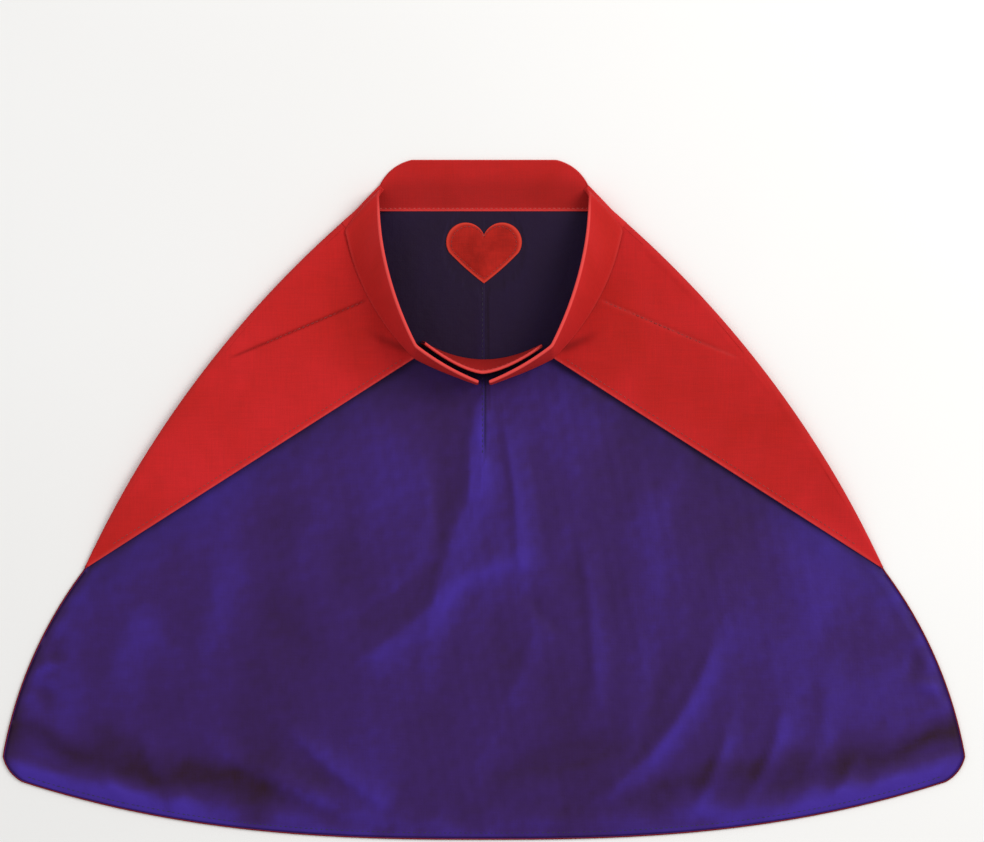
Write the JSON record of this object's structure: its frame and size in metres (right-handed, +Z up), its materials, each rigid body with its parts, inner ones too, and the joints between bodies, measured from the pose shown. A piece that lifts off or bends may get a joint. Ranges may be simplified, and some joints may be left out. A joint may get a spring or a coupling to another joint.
{
  "type": "superhero cape",
  "caption": "Child's lined cape laid flat, fronts folded over the shoulders, stand collar closed by a tab, heart applique on the lining.",
  "frame": {"origin": "middle of the outline, on the face the cape lies on", "axes": "+X across the shoulders, +Y from the hem to the collar, +Z up out of the cloth"},
  "size_m": [0.599, 0.423, 0.0397],
  "materials": {
    "red_cotton": "plain woven cotton, matt with a faint sheen",
    "collar_cotton": "plain woven cotton, stiffened, matt",
    "purple_lining": "shot lining weave, soft sheen",
    "heart_cotton": "plain woven cotton, matt",
    "red_thread": "spun sewing thread",
    "purple_thread": "spun sewing thread",
    "interfacing": "pressed fibre interfacing",
    "fusible_web": "melted adhesive web",
    "hook_tape": "woven hook tape",
    "loop_tape": "brushed loop tape"
  },
  "bodies": {
    "back": {"shell_back": "red_cotton", "lining_back": "purple_lining", "shell_fold_left": "red_cotton", "shell_fold_right": "red_cotton", "lining_fold_left": "purple_lining", "lining_fold_right": "purple_lining", "collar_back_outer": "collar_cotton", "collar_back_interfacing": "interfacing", "collar_back_inner": "collar_cotton", "collar_fold_left": "collar_cotton", "collar_fold_right": "collar_cotton", "heart_patch": "heart_cotton", "heart_web": "fusible_web", "heart_stitches": "red_thread", "hem_stitches": "purple_thread", "neck_stitches": "red_thread", "pleat_stitches": "purple_thread"},
    "left_front": {"front_shell_left": "red_cotton", "front_lining_left": "purple_lining", "dart_stitches_left": "red_thread", "edge_stitches_left": "red_thread", "collar_outer_left": "collar_cotton", "collar_interfacing_left": "interfacing", "collar_inner_left": "collar_cotton", "collar_stitches_left": "red_thread"},
    "right_front": {"front_shell_right": "red_cotton", "front_lining_right": "purple_lining", "dart_stitches_right": "red_thread", "edge_stitches_right": "red_thread", "collar_outer_right": "collar_cotton", "collar_interfacing_right": "interfacing", "collar_inner_right": "collar_cotton", "collar_stitches_right": "red_thread", "loop_tape": "loop_tape"},
    "closure_tab": {"tab_outer": "collar_cotton", "tab_inner": "collar_cotton", "hook_tape": "hook_tape", "tab_stitches": "red_thread"}
  },
  "joints": [
    {"name": "left_front_fold", "type": "hinge", "parent": "back", "child": "left_front", "pos_m": [-0.08, 0.1795, 0.008], "axis": [-0.604, -0.797, 0], "range_deg": [0, 150]},
    {"name": "right_front_fold", "type": "hinge", "parent": "back", "child": "right_front", "pos_m": [0.08, 0.1795, 0.008], "axis": [-0.604, 0.797, 0], "range_deg": [0, 150]},
    {"name": "closure_tab_hinge", "type": "hinge", "parent": "left_front", "child": "closure_tab", "pos_m": [-0.039, 0.098, 0.017], "axis": [0, 0, 1], "range_deg": [0, 90]}
  ],
  "couplings": [
    {"joint": "right_front_fold", "follows": "left_front_fold", "ratio": 1}
  ]
}
